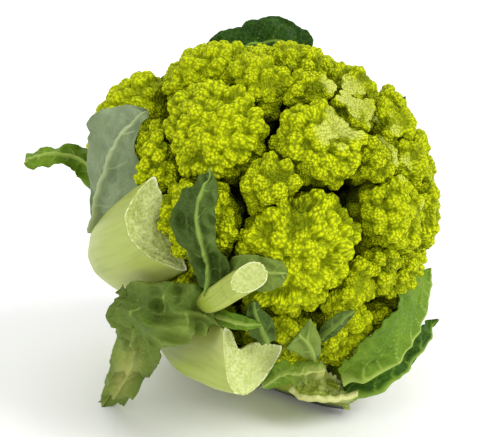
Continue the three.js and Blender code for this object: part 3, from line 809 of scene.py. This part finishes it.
def closePiece(piece, extras):
    bpy.ops.object.select_all(action="DESELECT")
    for other in (piece, *extras):
        other.select_set(True)
    bpy.context.view_layer.objects.active = piece
    if extras:
        bpy.ops.object.join()
    bpy.ops.object.mode_set(mode="EDIT")
    bpy.ops.mesh.select_all(action="SELECT")
    bpy.ops.mesh.remove_doubles(threshold=0.01 * mm)
    bpy.ops.mesh.fill_holes(sides=0)
    bpy.ops.mesh.normals_make_consistent(inside=False)
    bpy.ops.object.mode_set(mode="OBJECT")


tornEnd = {  # the broken end of the stalk that lies on the table, in millimetres from the head's centre
    "back": [[13.9, -37.6, -70.3], [17.9, -38.5, -66.8], [23.2, -39.5, -63.4], [27.8, -40.5, -66.4],
             [31.9, -41.1, -71.6], [37.6, -39.5, -72.9], [45.3, -36.6, -73.8]],
    "front": [[9.8, -46.2, -70.6], [14.5, -51.9, -72.2], [21, -53.8, -71.7], [27, -52.9, -72.2],
              [32.6, -49.9, -72.7], [38.9, -44.8, -73.3], [45, -38.7, -73.8]],
    "sag": 3.5, "depth": 2.8, "fringe": 2.2, "across": 60, "through": 24,
}


def makeTornEnd(materials):
    spec = tornEnd

    def rule(x, y):
        bowl = 4 * y * (1 - y)
        place = smooth(spec["front"], x) * (1 - y)[:, None] + smooth(spec["back"], x) * y[:, None]
        lumps = 0.9 * ripple(x * 6, y * 3, 62) + 0.4 * ripple(x * 18, y * 9, 63)
        place[:, 2] += spec["fringe"] * ripple(x * 8, 0 * x, 61) * y**2
        place[:, 2] += 0.6 * ripple(x * 5, 0 * x, 64) * (1 - y)
        place[:, 2] += (lumps - spec["sag"] * np.sin(math.pi * x)) * bowl
        rim = np.minimum(np.minimum(y, 1 - y) * 1.6, np.minimum(x, 1 - x) * 4)
        return place, {"outer": 0 * x, "across": x * 2 - 1, "along": rim, "vein": 0 * x}

    piece = gridPiece("torn_end", spec["across"], spec["through"], rule)
    for material in materials:
        piece.data.materials.append(material)
    piece.data.polygons.foreach_set("material_index", [1] * len(piece.data.polygons))
    applyModifier(piece, "SOLIDIFY", thickness=spec["depth"] * mm)
    closePiece(piece, [])
    return piece


def makeStalk(node, seed, materials):
    spec = stalks[node]
    piece = gridPiece(node + "_look", 2 * stalkMesh["across"], stalkMesh["steps"], sideRule(spec, seed))
    cut = gridPiece("cut", stalkMesh["across"], stalkMesh["through"], cutRule(spec, seed))
    for material in materials:
        piece.data.materials.append(material)
        cut.data.materials.append(material)
    cut.data.polygons.foreach_set("material_index", [1] * len(cut.data.polygons))
    closePiece(piece, [cut])
    if node == "table_stalk":
        other = makeTornEnd(materials)
        only(piece)
        other.select_set(True)
        bpy.ops.object.join()
    return piece


def makeLeaf(node, seed, spec):
    piece = gridPiece(node + "_look", 2 * spec["across"], spec["steps"], sideRule(spec, seed))
    closePiece(piece, [])
    if "fold" in spec:
        other = makeLeaf(node + "_fold", seed + 20, spec["fold"])
        only(piece)
        other.select_set(True)
        bpy.ops.object.join()
    return piece


finishes = {
    # the under colours are painted shade on the lowest part of a stalk's outer side, near black for the
    # stalk on the table
    "skin": {"pale": (0.38, 0.45, 0.06, 1), "deep": (0.22, 0.30, 0.02, 1), "bloom": (0.50, 0.55, 0.15, 1),
             "underShade": (0.21, 0.30, 0.02, 1), "underShadeShare": 0.3},
    "olive": {"pale": (0.30, 0.38, 0.012, 1), "deep": (0.16, 0.22, 0.004, 1),
              "bloom": (0.30, 0.37, 0.03, 1), "underShade": (0.015, 0.022, 0.003, 1), "underShadeShare": 1.0},
    "flesh": {"pale": (0.54, 0.585, 0.20, 1), "deep": (0.34, 0.42, 0.08, 1), "rim": (0.80, 0.83, 0.52, 1)},
    "cream": {"pale": (0.46, 0.52, 0.10, 1), "deep": (0.20, 0.29, 0.02, 1), "rim": (0.60, 0.62, 0.22, 1)},
    "grey": {"outer": (0.215, 0.275, 0.15, 1), "inner": (0.045, 0.12, 0.012, 1),
             "vein": (0.36, 0.43, 0.21, 1), "shade": (0.13, 0.18, 0.085, 1)},
    "green": {"outer": (0.15, 0.215, 0.032, 1), "inner": (0.03, 0.10, 0.006, 1),
              "vein": (0.28, 0.38, 0.07, 1), "shade": (0.045, 0.09, 0.008, 1)},
    "deep": {"outer": (0.07, 0.115, 0.018, 1), "inner": (0.02, 0.07, 0.003, 1),
             "vein": (0.20, 0.30, 0.05, 1), "shade": (0.03, 0.065, 0.006, 1)},
    "bright": {"outer": (0.14, 0.24, 0.012, 1), "inner": (0.05, 0.15, 0.004, 1),
               "vein": (0.34, 0.46, 0.09, 1), "shade": (0.06, 0.14, 0.005, 1)},
    # the dark look is a deep green darkened further with painted shade, for leaves that sit in shadow
    # behind and beside the head
    "shadedDark": {"outer": (0.035, 0.10, 0.004, 1), "inner": (0.012, 0.05, 0.001, 1),
             "vein": (0.22, 0.36, 0.04, 1), "shade": (0.012, 0.045, 0.001, 1)},
    "stain": (0.52, 0.50, 0.15, 1),
}


def makeSkin(name):
    material, tree, shader = newMaterial(name + "Stalk", 0.42)
    tone = finishes[name]
    across, along = attribute(tree, "across"), attribute(tree, "along")
    thread = wire(tree, "ShaderNodeCombineXYZ", ((0, calc(tree, "MULTIPLY", across, 9.0)),
                                                 (1, calc(tree, "MULTIPLY", along, 2.5))))
    streak = wire(tree, "ShaderNodeTexNoise",
                  (("Vector", thread.outputs[0]), ("Scale", 1.0), ("Detail", 3.0)))
    colour = mixColour(tree, remap(tree, streak.outputs["Fac"], 0.2, 0.6), tone["deep"], tone["pale"])
    edge = calc(tree, "POWER", calc(tree, "ABSOLUTE", across), 3.0)
    colour = mixColour(tree, calc(tree, "MULTIPLY", edge, 0.5), colour, tone["bloom"])
    colour = useGroup(tree, mottle, (("Color", colour), ("Other", tone["bloom"]),
                                     ("Scale", 28.0), ("Amount", 0.45)))
    low = remap(tree, calc(tree, "ABSOLUTE", across), 0.72, 0.4)  # painted shade on the lowest part of the outer side
    underShade = calc(tree, "MULTIPLY", attribute(tree, "outer"), low)
    underShade = calc(tree, "MULTIPLY", underShade, tone["underShadeShare"])
    colour = mixColour(tree, underShade, colour, tone["underShade"])
    tree.links.new(colour, shader.inputs["Base Color"])
    ribs = wire(tree, "ShaderNodeBump",
                (("Strength", 0.12), ("Distance", 0.6 * mm), ("Height", streak.outputs["Fac"])))
    tree.links.new(useGroup(tree, grain, (("Scale", 500.0), ("Depth", 0.06), ("Normal", ribs.outputs[0]))),
                   shader.inputs["Normal"])
    return material


def makeFlesh(name):
    material, tree, shader = newMaterial(name + "Cut", 0.35)
    tone = finishes[name]
    where = wire(tree, "ShaderNodeTexCoord").outputs["Object"]
    pith = wire(tree, "ShaderNodeTexNoise", (("Vector", where), ("Scale", 900.0), ("Detail", 4.0)))
    colour = mixColour(tree, remap(tree, pith.outputs["Fac"], 0.3, 0.62), tone["deep"], tone["pale"])
    colour = useGroup(tree, mottle, (("Color", colour), ("Other", tone["deep"]),
                                     ("Scale", 90.0), ("Amount", 0.35)))
    colour = mixColour(tree, remap(tree, attribute(tree, "along"), 0.16, 0.02), colour, tone["rim"])
    tree.links.new(colour, shader.inputs["Base Color"])
    bump = wire(tree, "ShaderNodeBump",
                (("Strength", 0.5), ("Distance", 0.8 * mm), ("Height", pith.outputs["Fac"])))
    tree.links.new(bump.outputs[0], shader.inputs["Normal"])
    return material


def makeLeafMaterial(name):
    material, tree, shader = newMaterial(name + "Leaf", 0.5)
    tone = finishes[name]
    vein, outer = attribute(tree, "vein"), attribute(tree, "outer")
    outside = useGroup(tree, mottle, (("Color", tone["outer"]), ("Other", tone["shade"]),
                                      ("Scale", 45.0), ("Amount", 0.7)))
    colour = mixColour(tree, outer, tone["inner"], outside)
    where = wire(tree, "ShaderNodeTexCoord").outputs["Object"]
    net = wire(tree, "ShaderNodeTexVoronoi", (("Vector", where), ("Scale", 420.0)),
               feature="DISTANCE_TO_EDGE")
    mesh = remap(tree, net.outputs["Distance"], 0.12, 0.0, 0.0, 0.13)
    colour = mixColour(tree, mesh, colour, tone["vein"])
    ribs = calc(tree, "MULTIPLY", remap(tree, vein, 0.25, 0.9), 0.85)
    colour = mixColour(tree, ribs, colour, tone["vein"])
    stained = calc(tree, "MULTIPLY", attribute(tree, "stain"), 0.55)
    colour = mixColour(tree, stained, colour, finishes["stain"])
    tree.links.new(colour, shader.inputs["Base Color"])
    shader.inputs["Specular IOR Level"].default_value = 0.12
    bump = wire(tree, "ShaderNodeBump",
                (("Strength", 0.35), ("Distance", 0.5 * mm), ("Height", net.outputs["Distance"])))
    tree.links.new(useGroup(tree, grain, (("Scale", 700.0), ("Depth", 0.08), ("Normal", bump.outputs[0]))),
                   shader.inputs["Normal"])
    return material


stem = {
    "profile": [[0, -98], [9, -98.6], [17, -98.2], [19, -97], [20, -92], [20, -80], [22, -62], [25.5, -46],
                [29, -33], [30, -25], [28, -14], [22, -5], [12, 2.5], [0, 4]],
    "around": 96, "along": 100, "cutBelow": -96.8,
}


def makeStem(materials):
    axis = np.array(growth)
    first = unit(np.cross(axis, (0, 0, 1)))
    second = np.cross(axis, first)

    def rule(x, y):
        turn = x * math.tau
        radius, height = smooth(stem["profile"], y).T
        lumps = ripple(np.cos(turn) * 0.7 + height / 40, np.sin(turn) * 0.7, 41) * radius * 0.05
        grain = ripple(radius * np.cos(turn) / 6, radius * np.sin(turn) / 6, 42)
        height = height + 0.5 * grain * (radius < 19)
        ring = np.cos(turn)[:, None] * first + np.sin(turn)[:, None] * second
        rim = np.clip((19 - radius) / 19, 0, 1)
        spot = axis * height[:, None] + ring * (radius + lumps)[:, None]
        return spot, {"across": np.cos(turn * 3), "along": rim}

    piece = gridPiece("main_stem_look", stem["around"], stem["along"], rule)
    for material in materials:
        piece.data.materials.append(material)
    closePiece(piece, [])
    for face in piece.data.polygons:
        height = (face.center - head).dot(growth) / mm
        face.material_index = 1 if height < stem["cutBelow"] else 0
    finishPiece(piece, "main_stem", [])


def makeStalksAndLeaves():
    fresh = (makeSkin("skin"), makeFlesh("flesh"))
    old = (makeSkin("olive"), makeFlesh("cream"))
    makeStem(fresh)
    for seed, (node, spec) in enumerate(stalks.items()):
        piece = makeStalk(node, seed + 1, old if spec.get("skin") == "olive" else fresh)
        finishPiece(piece, node, [])
    looks = {name: makeLeafMaterial(name) for name in ("grey", "green", "deep", "bright", "shadedDark")}
    for seed, (node, spec) in enumerate(leaves.items()):
        finishPiece(makeLeaf(node, seed + 30, spec), node, [looks[spec["look"]]])


def layLeaves():  # the inner faces of the leaves, as points with their outward directions
    places, outs = [], []
    s, t = (axis.ravel() for axis in np.meshgrid(np.linspace(-1, 1, 24), np.linspace(0.08, 1, 60)))
    for seed, spec in enumerate(leaves.values()):
        place, ahead, _ = surface(spec, s, t, 0.0, seed + 30)
        places.append(place * mm)
        outs.append(axesAlong(spec, t)[3])
    places, outs = np.concatenate(places), np.concatenate(outs)
    tree = KDTree(len(places))
    for index, place in enumerate(places):
        tree.insert(place, index)
    tree.balance()
    return tree, places, outs


makeCurd(layLeaves())
print("curd grown")
makeStalksAndLeaves()
print("stalks and leaves grown")
